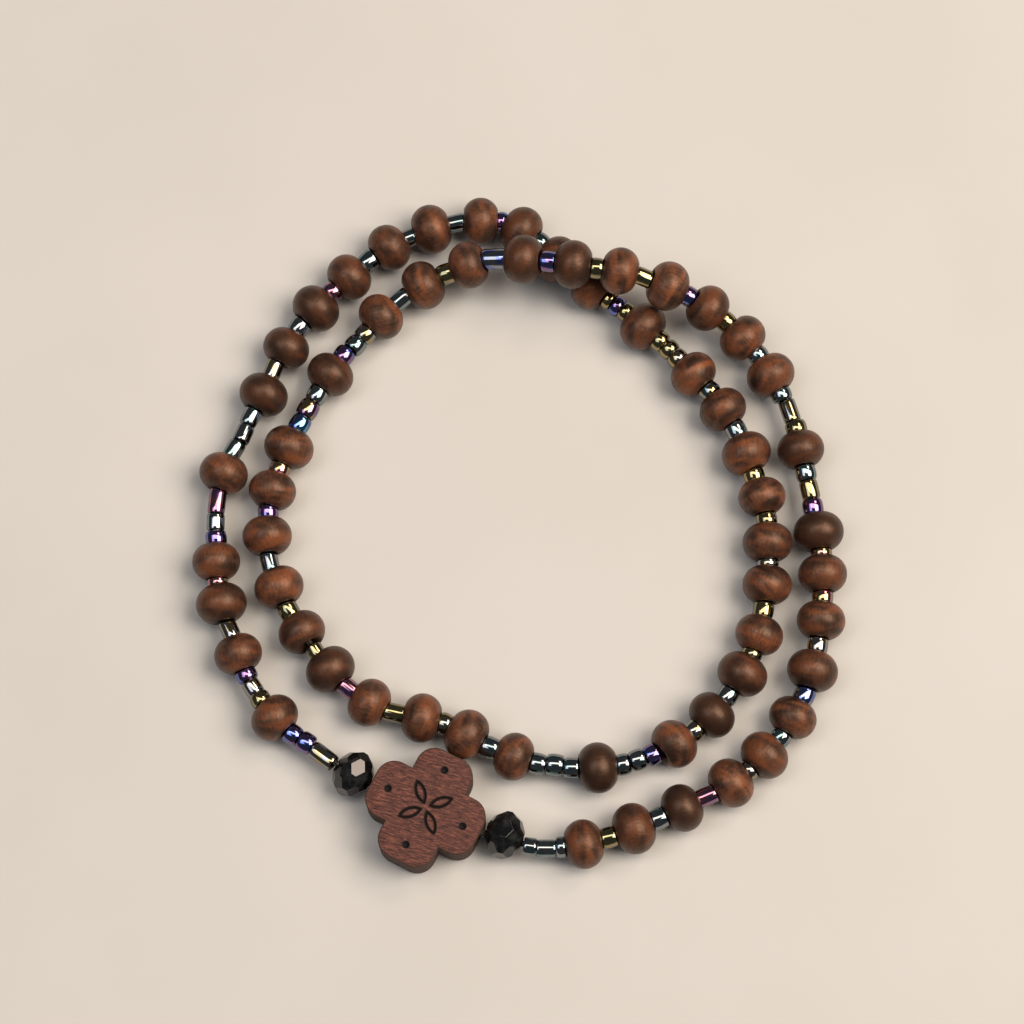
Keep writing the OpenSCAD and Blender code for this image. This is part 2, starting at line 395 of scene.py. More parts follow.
@dataclass(frozen=True)
class StainedBeadWood:
    """Turned hardwood, dip stained dark brown and waxed: satin, with soft dark and orange growth layers.

    Args:
        dark: Colour of the late wood, which takes the most stain.
        body: Colour between the two.
        warm: Colour of the early wood, where the stain is rubbed.
        pore_and_shade: Colour in the pores and the mouths.
        gloss: Tint of the gloss, which comes back through the fibres under the wax.
        layer: Thickness of a growth layer in millimetres.
        reach: How far a layer keeps its tone along itself.
        fibre: Width of a bundle of fibres.
        pore_width: Width of a pore.
        figure: Size of the cloudy patches.
    """

    dark: str = "#261a14"
    body: str = "#452f26"
    # pore_and_shade: Colour in the pores, and of the painted shade down the mouths and in the bores.
    warm: str = "#73432a"
    pore_and_shade: str = "#24150e"
    gloss: str = "#ffc8a4"
    layer: float = 1.1
    reach: float = 3.6
    fibre: float = 0.22
    pore_width: float = 0.12
    figure: float = 1.7

    def material(self) -> bpy.types.Material:
        """Builds the node material.

        Returns:
            The stained wood, which reads where a point lies in its bead's own wood, in millimetres.
        """
        material, add = new_material("stained_waxed_hardwood")
        wood = add("ShaderNodeAttribute", attribute_name="grain_mm").outputs["Vector"]
        tone = add("ShaderNodeAttribute", attribute_name="bead_tone").outputs["Fac"]
        # The mouth attribute is painted shade, deepening from each mouth's lip into the bore
        mouth = add("ShaderNodeAttribute", attribute_name="mouth").outputs["Fac"]
        # Layers lie across the hole. Fibres and pores run along it, six and three times as long as wide
        patterns = []
        for along, across, look in (
            (self.layer, self.reach, {"Detail": 1.5, "Distortion": 0.5}),
            (6 * self.fibre, self.fibre, {"Detail": 3.0, "Roughness": 0.6}),
            (3 * self.pore_width, self.pore_width, {"Detail": 2.0}),
        ):
            scale = (1 / across, 1 / across, 1 / along)
            place = add("ShaderNodeMapping", {"Vector": wood, "Scale": scale}).outputs[0]
            noise = add("ShaderNodeTexNoise", {"Vector": place, "Scale": 1.0, **look})
            patterns.append(noise.outputs["Fac"])
        layers, streaks, pores = patterns
        figure = add(
            "ShaderNodeTexNoise",
            {"Vector": wood, "Scale": 1 / self.figure, "Detail": 2.0, "Roughness": 0.5},
        ).outputs["Fac"]
        grain = add("ShaderNodeMix", {"Factor": 0.31, "A": layers, "B": streaks}, data_type="FLOAT")
        stops = (0.385, self.dark), (0.49, self.body), (0.61, self.warm)
        colour = add("ShaderNodeValToRGB", {"Fac": grain.outputs[0]}, stops).outputs[0]
        patch = add(
            "ShaderNodeMapRange",
            {"Value": figure, "From Min": 0.48, "From Max": 0.72, "To Max": 0.6},
        ).outputs[0]
        pitted = add(
            "ShaderNodeMapRange",
            {"Value": pores, "From Min": 0.57, "From Max": 0.70, "To Max": 0.65},
        ).outputs[0]
        # Patches, tone and pores are the wood's own colour; the mouth share mixes in painted shade
        for share, tint in ((patch, self.warm), (tone, self.dark), (pitted, self.pore_and_shade), (mouth, self.pore_and_shade)):
            mixed = add("ShaderNodeMix", {0: share, 6: colour, 7: linear(tint)}, data_type="RGBA")
            colour = mixed.outputs[2]
        rough = add(
            "ShaderNodeMapRange",
            {"Value": streaks, "From Min": 0.3, "From Max": 0.7, "To Min": 0.46, "To Max": 0.37},
        )
        bump = add("ShaderNodeBump", {"Height": streaks, "Distance": 0.05 * MM, "Strength": 0.8})
        bump = add(
            "ShaderNodeBump",
            {"Height": pitted, "Distance": 0.015 * MM, "Strength": 0.8, "Normal": bump.outputs[0]},
            invert=True,
        )
        finish_material(
            add,
            {
                "Base Color": colour,
                "Roughness": rough.outputs[0],
                "IOR": 1.5,
                "Specular IOR Level": 0.5,
                "Specular Tint": linear(self.gloss),
                "Coat Weight": 0.12,
                "Coat Roughness": 0.25,
                "Normal": bump.outputs[0],
            },
        )
        return material


@dataclass
class WoodBeads:
    """Round turned beads with a drilled hole and countersunk mouths.

    Args:
        strand: The string that they are on.
        diameter: Across the hole.
        length: Along the hole.
        bore: Diameter of the hole.
        mouth: Diameter of the countersunk mouth.
        mouth_depth: Its depth.
        dish: Diameter of the mouths of the beads that lie askew, which the turner cut wider.
        lip_angle: How far before the mouth's lip the cheek's arc ends, in radians.
        lip_depth: How far down the mouth's cone the lip is rounded.
        mouth_shade: Share of painted shade at the lip, down the cone, on its floor and in the bore.
        spread: Largest shrinkage of a bead, as a share.
        uneven: How far a bead is out of round, as a share.
        winding: Angle that its three-sided part winds along the bead, in radians.
        tilt: Largest tilt of most beads on the thread, in degrees.
        askew: Tilt of the few beads that the thread's bends leave askew.
        leaning: Numbers of these beads, each with the way it leans round the thread, in degrees.
        grain_tip: Usual tip of the grain from the hole, in radians.
        tone: Usual share of dark stain over a bead, how much it varies, and its most.
        around: Points in a turn.
        cheek_points: Points along the cheek.
        seed: Start of the random numbers.
        first_s: Distance of the first bead along the string.
    """

    strand: Strand
    diameter: float = WOOD_DIAMETER
    length: float = 3.9
    bore: float = 1.4
    mouth: float = 2.5
    mouth_depth: float = 0.5
    dish: float = 3.3
    lip_angle: float = 0.07
    lip_depth: float = 0.11
    mouth_shade: tuple[float, ...] = (0.0, 0.1, 0.6, 1.0)
    spread: float = 0.06
    uneven: float = 0.003
    winding: float = 5.0
    tilt: float = 3.0
    askew: float = 11.0
    leaning: tuple[tuple[int, float], ...] = ((25, 225.0), (32, 90.0))
    grain_tip: float = 0.25
    tone: tuple[float, float, float] = (0.25, 0.36, 0.9)
    around: int = 48
    cheek_points: int = 23
    seed: int = 11
    first_s: float = 0.0
    s: np.ndarray = field(init=False)

    def __post_init__(self) -> None:
        """Works out each bead's distance along the string, run by run."""
        places, here = [], self.first_s
        for run in RUNS:
            steps = [self.length + GAPS[kind] for kind in run.gaps]
            places.append(here + np.concatenate([[0], np.cumsum(steps)]))
            here += sum(steps) + self.length + run.spacer
        self.s = np.concatenate(places)

    @property
    def size(self) -> np.ndarray:
        """Each bead's size as a share of the largest one."""
        return 1 - self.spread * luck(len(self.s), step=137)

    def section(self, mouth: float) -> np.ndarray:
        """Closed profile of a bead's wall.

        The cheek is an arc whose radius is half the length. It meets the mouth's cone in a short
        rounded lip, and the bore joins both cones.

        Args:
            mouth: Diameter of the countersunk mouth.

        Returns:
            Radius and height of each profile point: the cheek upwards, then the inside downwards.
        """
        half, hole = self.length / 2, self.bore / 2
        centre, floor = self.diameter / 2 - half, half - self.mouth_depth
        slope = (mouth / 2 - hole) / self.mouth_depth
        # The cone's radius at a height z is hole + slope * (z - floor), and it meets the cheek's arc
        p, q = 1 + slope**2, hole - centre - slope * floor
        lip_z = (-slope * q + np.sqrt(p * half**2 - q**2)) / p
        lip = np.array([hole + slope * (lip_z - floor), lip_z])
        reach = np.arctan2(lip_z, lip[0] - centre) - self.lip_angle
        angle = np.linspace(-reach, reach, self.cheek_points)
        cheek = np.stack([centre + half * np.cos(angle), half * np.sin(angle)], axis=1)
        cone = np.array([[lip[0] - self.lip_depth * slope, lip_z - self.lip_depth], [hole, floor]])
        corner = (cheek[-1] + 2 * lip + cone[0]) / 4
        top = np.vstack([corner, cone])
        bore = np.array([[hole, floor / 3], [hole, -floor / 3]])
        return np.vstack([cheek, top, bore, (top * (1, -1))[::-1]])

    def build(self, name: str, node: str, first: int, last: int, material: bpy.types.Material) -> None:
        """Makes the beads of one wrap as one piece that stands for their solids.

        A hand-turned bead is out of round by a few hundredths of a millimetre. Outside, its radius
        is 1 + uneven * (cos(2 a + p) + cos(3 a + winding * h + q) - 2) of the profile's, at an angle a
        and a height h in bead lengths, where p and q are its own random angles.

        Args:
            name: The piece's name.
            node: The CAD node that it replaces.
            first: Number of the first bead.
            last: One more than the number of the last bead.
            material: Their wood.
        """
        count = len(self.s)
        random = np.random.default_rng(self.seed)
        section = self.section(self.mouth)
        sections = np.broadcast_to(section, (count, *section.shape)).copy()
        sections[[bead for bead, _ in self.leaning]] = self.section(self.dish)
        # Painted shade for each profile point: none on the cheek, deepening down the mouth into the bore
        hole_shade = np.concatenate([np.zeros(self.cheek_points), self.mouth_shade, self.mouth_shade[::-1]])
        height = section[:, 1] / self.length
        angle = circle(self.around)
        phase = random.uniform(0, 2 * np.pi, (count, 2, 1, 1))
        oval = np.cos(2 * angle + phase[:, 0])
        three_sided = np.cos(3 * angle + self.winding * height[:, None] + phase[:, 1])
        swell = 1 + self.uneven * (1 - hole_shade[:, None]) * (oval + three_sided - 2)
        own = revolved(sections, self.around, swell)
        # The steps of luck are those of the solids
        way, tilt = 360 * luck(count, step=61), self.tilt * luck(count, step=83)
        for bead, leans in self.leaning:
            way[bead], tilt[bead] = leans, self.askew
        tilts = turn(2, np.radians(way)) @ turn(0, np.radians(tilt))
        turned = self.strand.turned(self.s) @ tilts * self.size[:, None, None]
        tips = [turn(axis, random.normal(0, self.grain_tip, count)) for axis in (0, 1)]
        blocks = random.uniform(-PATTERN_REACH, PATTERN_REACH, (count, 3))
        grain = placed(own, tips[0] @ tips[1], blocks)
        usual, varies, most = self.tone
        tone = np.clip(random.normal(usual, varies, count), 0, most)
        each = len(section) * self.around
        chosen = slice(first * each, last * each)
        points = placed(own, turned, self.strand.at(self.s))[chosen]
        faces = grid_faces(len(section), self.around, copies=last - first)
        piece = make_piece(name, points, faces.tolist(), material)
        add_attribute(piece, "grain_mm", grain[chosen])
        add_attribute(piece, "bead_tone", np.repeat(tone, each)[chosen])
        # The mouth attribute carries this painted shade in the holes
        add_attribute(piece, "mouth", np.tile(np.repeat(hole_shade, self.around), last - first))
        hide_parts(node)


class Lettered(Enum):
    """Options that RUNS writes as a letter."""

    letter: str

    @classmethod
    def read(cls, letter: str) -> Self:
        """The option that a letter stands for."""
        return next(option for option in cls if option.letter == letter)


class SeedShape(Lettered):
    """Cut of a seed bead.

    Args:
        letter: How RUNS writes it.
        diameter: Across the hole, in millimetres.
        share: Its share of a spacer.
        roundness: Of its ends, from 0 for flat to 1 for round.
        six_sided: How far its outside is pulled in to a hexagon, from 0 to 1.
    """

    ROUND = ("r", 2.1, 1.0, 0.80, 0.0)
    HEX = ("h", 1.8, 1.15, 0.45, 0.15)
    TUBE = ("t", 1.8, 1.15, 0.40, 0.0)
    LONG = ("l", 1.75, 1.7, 0.34, 0.0)
    BARREL = ("b", 2.1, 1.2, 0.45, 0.0)

    def __init__(
        self, letter: str, diameter: float, share: float, roundness: float, six_sided: float
    ) -> None:
        """Names the values of a cut."""
        self.letter, self.diameter, self.share = letter, diameter, share
        self.roundness, self.six_sided = roundness, six_sided


class Iris(Lettered):
    """Colour of a seed bead's metallic coat.

    Args:
        letter: How RUNS writes it.
        colour: Its hex colour.
        into: Letter of the colour that it shades into, where RUNS gives only one.
    """

    STEEL = ("S", "#777b7e", "T")
    GOLD = ("G", "#8a7733", "O")
    OLIVE = ("O", "#696430", "G")
    PURPLE = ("P", "#6d3978", "B")
    BLUE = ("B", "#304da5", "P")
    CYAN = ("C", "#3488b1", "B")
    PINK = ("K", "#9f5969", "G")
    TEAL = ("T", "#537377", "S")

    def __init__(self, letter: str, colour: str, into: str) -> None:
        """Names the values of a colour."""
        self.letter, self.colour, self.into = letter, colour, into


@dataclass(frozen=True)
class IrisGlass:
    """Dark pressed glass with a metallic iris coat: it mirrors lamps sharply and shades between two colours.

    Args:
        patch: Size of the clouds where one colour shades into the other, in millimetres.
        rim: Tint of the metal where it is seen edge on, which the thin oxide film dulls.
    """

    patch: float = 0.9
    rim: str = "#525356"

    def material(self) -> bpy.types.Material:
        """Builds the node material.

        Returns:
            The coated glass, which reads its two colours and where a point lies in its bead.
        """
        material, add = new_material("iris_coated_glass")
        own, first, second = (
            add("ShaderNodeAttribute", attribute_name=name).outputs["Vector"]
            for name in ("seed_mm", "coat_colour", "shade_colour")
        )
        noise = add("ShaderNodeTexNoise", {"Vector": own, "Scale": 1 / self.patch, "Detail": 1.0})
        cloud = noise.outputs["Fac"]
        share = add("ShaderNodeMapRange", {"Value": cloud, "From Min": 0.42, "From Max": 0.62})
        colour = add("ShaderNodeMix", {0: share.outputs[0], 6: first, 7: second}, data_type="RGBA")
        rough = add(
            "ShaderNodeMapRange",
            {"Value": cloud, "From Min": 0.3, "From Max": 0.7, "To Min": 0.05, "To Max": 0.12},
        )
        finish_material(
            add,
            {
                "Base Color": colour.outputs[2],
                "Metallic": 1.0,
                "Roughness": rough.outputs[0],
                "Specular Tint": linear(self.rim),
                "Coat Weight": 1.0,
                "Coat Roughness": 0.05,
                "Coat IOR": 1.9,
            },
        )
        return material


@dataclass
class SeedBeads:
    """Small glass beads between the wood beads, sunk a little into their mouths.

    Args:
        wood: The wood beads that they lie between.
        first_face: Distance along the string of the left black bead's outer face.
        last_face: Distance along the string of the right black bead's outer face.
        sink: How deep a seed bead's end sits in a mouth.
        clearance: Gap between neighbouring seed beads.
        hole: Share of the diameter that the hole takes.
        spread: Largest difference of a diameter from its cut's, as a share.
        hex_corner: Radius that the hexagon's corners are worn to, as a share of the bead's.
        tilt: Usual tilt on the thread, in degrees.
        slip: Usual distance that the wide hole lets a seed bead hang off the thread.
        slip_limit: The most of it.
        around: Points in a turn, a multiple of six.
        section_points: Points round the wall's section.
        seed: Start of the random numbers.
    """

    wood: WoodBeads
    first_face: float
    last_face: float
    sink: float = 0.28
    clearance: float = 0.04
    hole: float = 0.42
    spread: float = 0.03
    hex_corner: float = 0.97
    tilt: float = 5.5
    slip: float = 0.1
    slip_limit: float = 0.15
    around: int = 30
    section_points: int = 20
    seed: int = 23

    def spans(self) -> list[tuple[float, float, str]]:
        """The free stretches of the string, in order.

        Returns:
            Start, end and seed beads of each stretch.
        """
        half = self.wood.length / 2 * self.wood.size
        before, after = self.wood.s - half + self.sink, self.wood.s + half - self.sink
        starts = np.concatenate([[self.first_face], after])
        ends = np.concatenate([before, [self.last_face]])
        words = [FIRST_SEEDS]
        for run in RUNS:
            words += [*run.seeds.split(), run.spacer_seeds]
        return list(zip(starts, ends, words))

    def laid_out(self) -> tuple[np.ndarray, np.ndarray, list[SeedShape], list[tuple[Iris, Iris]]]:
        """Shares out each free stretch among its seed beads.

        Returns:
            Each seed bead's place along the string, length, shape and pair of colours.
        """
        places, lengths, shapes, colours = [], [], [], []
        for start, end, words in self.spans():
            cuts = [SeedShape.read(word[-1]) for word in words.split()]
            shares = np.array([cut.share for cut in cuts])
            edges = start + (end - start) * np.concatenate([[0], np.cumsum(shares) / shares.sum()])
            places += ((edges[1:] + edges[:-1]) / 2).tolist()
            lengths += (np.diff(edges) - self.clearance).tolist()
            shapes += cuts
            for word in words.split():
                iris = Iris.read(word[0])
                colours.append((iris, Iris.read(word[1] if len(word) == 3 else iris.into)))
        return np.array(places), np.array(lengths), shapes, colours

    def build(self, name: str, material: bpy.types.Material) -> None:
        """Makes all seed beads as one piece.

        A bead's wall is a ring whose section is a rounded oblong, |x|^(2/e) + |y|^(2/e) = 1, with a
        smaller e for flatter ends. A six-sided one has its outside pulled in part of the way to a
        hexagon, whose radius is the inner radius over the cosine of the angle from the nearest flat.

        Args:
            name: The piece's name.
            material: Their coated glass.
        """
        places, lengths, shapes, colours = self.laid_out()
        count = len(places)
        random = np.random.default_rng(self.seed)
        outer = np.array([shape.diameter for shape in shapes]) / 2
        outer = outer * random.uniform(1 - self.spread, 1 + self.spread, count)
        inner = outer * self.hole
        power = np.array([shape.roundness for shape in shapes])[:, None]
        section = circle(self.section_points, shift=0.5)
        across, up = np.cos(section), np.sin(section)
        middle, half_wall = (outer + inner)[:, None] / 2, (outer - inner)[:, None] / 2
        radius = middle + half_wall * np.sign(across) * np.abs(across) ** power
        height = lengths[:, None] / 2 * np.sign(up) * np.abs(up) ** power
        sixth = np.pi / 3
        from_flat = np.mod(circle(self.around), sixth) - sixth / 2
        flats = np.minimum(np.cos(sixth / 2) / np.cos(from_flat), self.hex_corner) / self.hex_corner
        six = np.array([shape.six_sided for shape in shapes])[:, None, None] * (across > 0)[None, :, None]
        profiles = np.stack([radius, height], axis=-1)
        own = revolved(profiles, self.around, 1 - six * (1 - flats[None, None, :]))
        way = random.uniform(0, 2 * np.pi, count)
        tips = turn(2, way) @ turn(0, np.radians(random.normal(0, self.tilt, count)))
        turned = self.wood.strand.turned(places) @ tips
        slip = np.clip(random.normal(0, self.slip, (count, 1)), -self.slip_limit, self.slip_limit)
        points = placed(own, turned, self.wood.strand.at(places) + turned[:, :, 0] * slip)
        faces = grid_faces(self.section_points, self.around, copies=count)
        piece = make_piece(name, points, faces.tolist(), material, sharp_angle=25.0)
        blocks = random.uniform(-PATTERN_REACH, PATTERN_REACH, (count, 1, 3))
        add_attribute(piece, "seed_mm", (own.reshape(count, -1, 3) + blocks).reshape(-1, 3))
        for attribute, chosen in (("coat_colour", 0), ("shade_colour", 1)):
            tints = np.array([linear(pair[chosen].colour)[:3] for pair in colours])
            add_attribute(piece, attribute, np.repeat(tints, self.section_points * self.around, axis=0))


@dataclass(frozen=True)
class BlackGlass:
    """Black pressed crystal glass, faceted and fire polished: nearly black, with mirror-like facets.

    Args:
        body: Its colour.
        haze: Its colour where fine scratches haze it.
        wear: Size of the hazy spots, in millimetres.
    """

    body: str = "#0c0d0e"
    haze: str = "#2a2c2d"
    wear: float = 0.8

    def material(self) -> bpy.types.Material:
        """Builds the node material.

        Returns:
            The glass, with a faint haze of fine wear.
        """
        material, add = new_material("black_faceted_glass")
        place = add("ShaderNodeTexCoord").outputs["Object"]
        wear = add("ShaderNodeTexNoise", {"Vector": place, "Scale": 1 / (self.wear * MM), "Detail": 4.0})
        stops = (0.45, self.body), (0.75, self.haze)
        colour = add("ShaderNodeValToRGB", {"Fac": wear.outputs["Fac"]}, stops)
        rough = add(
            "ShaderNodeMapRange",
            {"Value": wear.outputs["Fac"], "From Min": 0.4, "From Max": 0.8, "To Min": 0.04, "To Max": 0.16},
        )
        finish_material(add, {"Base Color": colour.outputs[0], "Roughness": rough.outputs[0], "IOR": 1.55})
        return material


@dataclass
class BlackBeads:
    """Faceted glass beads on both sides of the cross.

    Args:
        length: Length along the hole.
        gap: Clear length between a bead and the cross.
        edge: Width of the polished edge between two facets.
        edge_angle: Facets that turn by more degrees than this have such an edge.
        edge_steps: Faces across it.
        flat_angle: Triangles of the solid that turn by fewer degrees than this are one facet.
        weld: Distance under which points of the solid are one.
    """

    length: float = 4.1
    gap: float = 0.2
    edge: float = 0.01
    edge_angle: float = 12.0
    edge_steps: int = 2
    flat_angle: float = 1.0
    weld: float = 0.001

    def build(self, node: str, material: bpy.types.Material) -> None:
        """Makes a bead from its solid's facets, merged, with each edge polished round.

        Args:
            node: The CAD node that it replaces.
            material: Its glass.
        """
        shape = bmesh.new()
        shape.from_mesh(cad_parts[node].data)
        bmesh.ops.remove_doubles(shape, verts=shape.verts, dist=self.weld * MM)
        flat = np.radians(self.flat_angle)
        bmesh.ops.dissolve_limit(shape, angle_limit=flat, verts=shape.verts, edges=shape.edges)
        mesh = bpy.data.meshes.new(node + "_glass")
        shape.to_mesh(mesh)
        shape.free()
        mesh.materials.clear()
        mesh.materials.append(material)
        mesh.shade_flat()
        piece = add_object(mesh.name, mesh)
        bevel = piece.modifiers.new("polished_edges", "BEVEL")
        bevel.width = self.edge * MM
        bevel.segments = self.edge_steps
        bevel.limit_method = "ANGLE"
        bevel.angle_limit = np.radians(self.edge_angle)
        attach(piece, "root")
        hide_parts(node)
        log.info("%s: %d facets", piece.name, len(mesh.polygons))


@dataclass(frozen=True)
class RawCrossWood:
    """Purple-red hardwood, planed and laser cut without varnish: dull, with short pale and dark streaks.

    Args:
        dark: Colour of the dark streaks.
        body: Colour between the streaks.
        pale: Colour of the pale streaks and flecks.
        edge: Colour of the cut wall, which the laser browned.
        burnt: Colour of the engraved lines.
        grain_turn: Direction of the grain, in degrees.
        streak: Width of a streak in millimetres.
        streak_length: Its length.
        fleck: Width of a pale fleck.
        fleck_length: Its length.
    """

    dark: str = "#2b1713"
    body: str = "#4f2c26"
    pale: str = "#875341"
    edge: str = "#423026"
    burnt: str = "#0a0605"
    grain_turn: float = -17.0
    streak: float = 0.17
    streak_length: float = 1.1
    fleck: float = 0.09
    fleck_length: float = 0.45

    def material(self) -> bpy.types.Material:
        """Builds the node material.

        Returns:
            The wood, which reads how scorched a point is and whether it is on the wall.
        """
        material, add = new_material("raw_purple_hardwood")
        place = add("ShaderNodeTexCoord").outputs["Object"]
        burn = add("ShaderNodeAttribute", attribute_name="burn").outputs["Fac"]
        side = add("ShaderNodeAttribute", attribute_name="side").outputs["Fac"]
        # Turned back by the grain's own direction, the streaks and flecks lie along X
        level = add(
            "ShaderNodeVectorRotate",
            {"Vector": place, "Angle": np.radians(-self.grain_turn)},
            rotation_type="Z_AXIS",
        ).outputs[0]
        patterns = []
        for long, wide, look in (
            (self.streak_length, self.streak, {"Detail": 3.0, "Roughness": 0.65}),
            (self.fleck_length, self.fleck, {"Detail": 1.0}),
        ):
            scale = (1 / (long * MM), 1 / (wide * MM), 1 / (wide * MM))
            along_grain = add("ShaderNodeMapping", {"Vector": level, "Scale": scale}).outputs[0]
            noise = add("ShaderNodeTexNoise", {"Vector": along_grain, "Scale": 1.0, **look})
            patterns.append(noise.outputs["Fac"])
        streaks, flecks = patterns
        stops = (0.33, self.dark), (0.52, self.body), (0.78, self.pale)
        colour = add("ShaderNodeValToRGB", {"Fac": streaks}, stops).outputs[0]
        lit = add(
            "ShaderNodeMapRange",
            {"Value": flecks, "From Min": 0.58, "From Max": 0.70, "To Max": 0.6},
        ).outputs[0]
        wall = add("ShaderNodeMapRange", {"Value": side, "To Max": 0.75}).outputs[0]
        for share, tint in ((lit, self.pale), (wall, self.edge), (burn, self.burnt)):
            mixed = add("ShaderNodeMix", {0: share, 6: colour, 7: linear(tint)}, data_type="RGBA")
            colour = mixed.outputs[2]
        bump = add("ShaderNodeBump", {"Height": streaks, "Distance": 0.05 * MM, "Strength": 0.8})
        finish_material(
            add,
            {
                "Base Color": colour,
                "Roughness": 0.75,
                "IOR": 1.5,
                "Specular IOR Level": 0.35,
                "Normal": bump.outputs[0],
            },
        )
        return material


@dataclass
class Patch:
    """Part of the cross's surface.

    Args:
        points: Its points, one row each.
        faces: The point numbers of each face, counter-clockwise seen from outside.
        burn: How scorched each point is, from 0 to 1.
        side: 1 for each point on the wall and in the bore, 0 for one on the face or the back.
    """

    points: np.ndarray
    faces: list[list[int]]
    burn: np.ndarray
    side: np.ndarray


def filled(loops: Sequence[np.ndarray]) -> tuple[np.ndarray, list[list[int]], np.ndarray]:
    """Fills a plane outline with triangles whose edges follow the loops inside it.

    Args:
        loops: Closed rings of points, the outline first and counter-clockwise.

    Returns:
        Points, triangles, and the number of the loops' point that each point comes from.
    """
    edges, start = [], 0
    for loop in loops:
        edges += [(start + i, start + (i + 1) % len(loop)) for i in range(len(loop))]
        start += len(loop)
    plan = [Vector(point) for point in np.vstack(loops)]
    rim = list(range(len(loops[0])))
    # Mode 1 keeps what is inside the rim, and points closer than the last value are one
    flat, _, faces, origins, _, _ = delaunay_2d_cdt(plan, edges, [rim], 1, 1e-5)
    return np.array(flat), [list(face) for face in faces], np.array([origin[0] for origin in origins])


@dataclass
class Cross:
    """Laser-cut wooden cross with four equal round-cornered arms, drilled along one arm.

    Args:
        length: Length along both arms.
        arm: Width of an arm.
        thickness: Height of the cross.
        corner: Radius of the arms' round corners.
        bore: Diameter of the hole.
        bore_burn: How far the drill scorched the hole, from 0 to 1.
        at: Middle of the cross on the floor.
        turned: Angle of the drilled arm, in degrees.
        edge: Radius of the sanded edge between the faces and the wall.
        line: Width of an engraved line.
        depth: Its depth; a line is a V, so its walls turn away from the light.
        rim_burn: How scorched the rims of a line are, from 0 to 1.
        halo: Width of the browned band beside a line.
        leaf_radius: Radius of the two arcs between which a leaf lies.
        leaf_width: Its width.
        leaf_reach: Distance of its middle from the middle of the cross.
        dot: Diameter of an engraved dot.
        dot_floor: Radius of its flat bottom.
        dot_depth: Its depth.
        dot_reach: Distance of its middle from the middle of the cross.
        arc_points: Points along a round corner.
        edge_points: Points along the sanded edge.
        leaf_points: Points along an arc of a leaf, both tips counted.
        dot_points: Points round a dot.
        bore_points: Points round the hole.
        weld: Distance under which points of two patches are one.
    """

    length: float = 11.4
    arm: float = 5.7
    thickness: float = CROSS_THICKNESS
    corner: float = 1.8
    bore: float = 2.0
    bore_burn: float = 0.5
    at: tuple[float, float] = (-9.25, -28.1)
    turned: float = -27.0
    edge: float = 0.16
    line: float = 0.28
    depth: float = 0.2
    rim_burn: float = 0.8
    halo: float = 0.09
    leaf_radius: float = 1.7
    leaf_width: float = 1.1
    leaf_reach: float = 1.55
    dot: float = 0.7
    dot_floor: float = 0.06
    dot_depth: float = 0.3
    dot_reach: float = 4.0
    arc_points: int = 10
    edge_points: int = 5
    leaf_points: int = 13
    dot_points: int = 20
    bore_points: int = 32
    weld: float = 0.002

    def outline(self, inset: float) -> np.ndarray:
        """The cross's outline, moved inwards: for each arm a sharp inner corner and two round ones.

        A round corner's points are its centre plus its radius times the cosine and sine of an angle.

        Args:
            inset: How far inwards.

        Returns:
            Points in the cross's own plane, counter-clockwise.
        """
        half, side, radius = self.length / 2 - inset, self.arm / 2 - inset, self.corner - inset
        low = np.linspace(-np.pi / 2, 0, self.arc_points)
        end, beside = half - radius + radius * np.cos(low), radius - side + radius * np.sin(low)
        low_arc = np.stack([end, beside], axis=1)
        high_arc = (low_arc * (1, -1))[::-1]
        arm = np.vstack([[side, -side], low_arc, high_arc])
        return np.vstack([arm @ turn(2, -quarter)[0, :2, :2] for quarter in circle(4)])

    def leaf(self, grown: float) -> np.ndarray:
        """One leaf's outline between two arcs, grown outwards or inwards.

        The arcs' centres lie on both sides of the leaf's middle, each at the radius less half the
        width from it.

        Args:
            grown: How far outwards.

        Returns:
            Points round the origin, counter-clockwise.
        """
        radius, offset = self.leaf_radius + grown, self.leaf_radius - self.leaf_width / 2
        tip = np.arccos(offset / radius)
        angle = np.linspace(-tip, tip, self.leaf_points)[:-1] + np.pi / 2
        over = np.stack([radius * np.cos(angle), radius * np.sin(angle) - offset], axis=1)
        return np.vstack([over, -over])

    def engraving(self) -> list[tuple[np.ndarray, float, float]]:
        """Loops of the flower of four leaves and of the four dots.

        Returns:
            Each loop's points, its depth and how scorched it is.
        """
        line_levels = (
            (self.halo, 0.0, 0.0),
            (0.0, 0.0, self.rim_burn),
            (-self.line / 2, self.depth, 1.0),
            (-self.line, 0.0, self.rim_burn),
            (-self.line - self.halo, 0.0, 0.0),
        )
        dot_levels = (
            (self.halo, 0.0, 0.0),
            (0.0, 0.0, 1.0),
            (self.dot_floor - self.dot / 2, self.dot_depth, 1.0),
        )
        angle = circle(self.dot_points)
        loops = []
        for quarter in circle(4):
            leaf_turn = turn(2, quarter + np.pi / 4)[0, :2, :2]
            dot_turn = turn(2, quarter)[0, :2, :2]
            for grown, depth, burn in line_levels:
                leaf = self.leaf(grown) + (self.leaf_reach, 0)
                loops.append((leaf @ leaf_turn.T, depth, burn))
            for grown, depth, burn in dot_levels:
                radius = self.dot / 2 + grown
                dot = np.stack([self.dot_reach + radius * np.cos(angle), radius * np.sin(angle)], axis=1)
                loops.append((dot @ dot_turn.T, depth, burn))
        return loops

    def bore_loop(self) -> np.ndarray:
        """The bore's circle, across and up the end of the arm: its radius times a cosine and a sine."""
        angle = circle(self.bore_points)
        return np.stack([np.cos(angle), np.sin(angle)], axis=1) * self.bore / 2 + (0, self.thickness / 2)

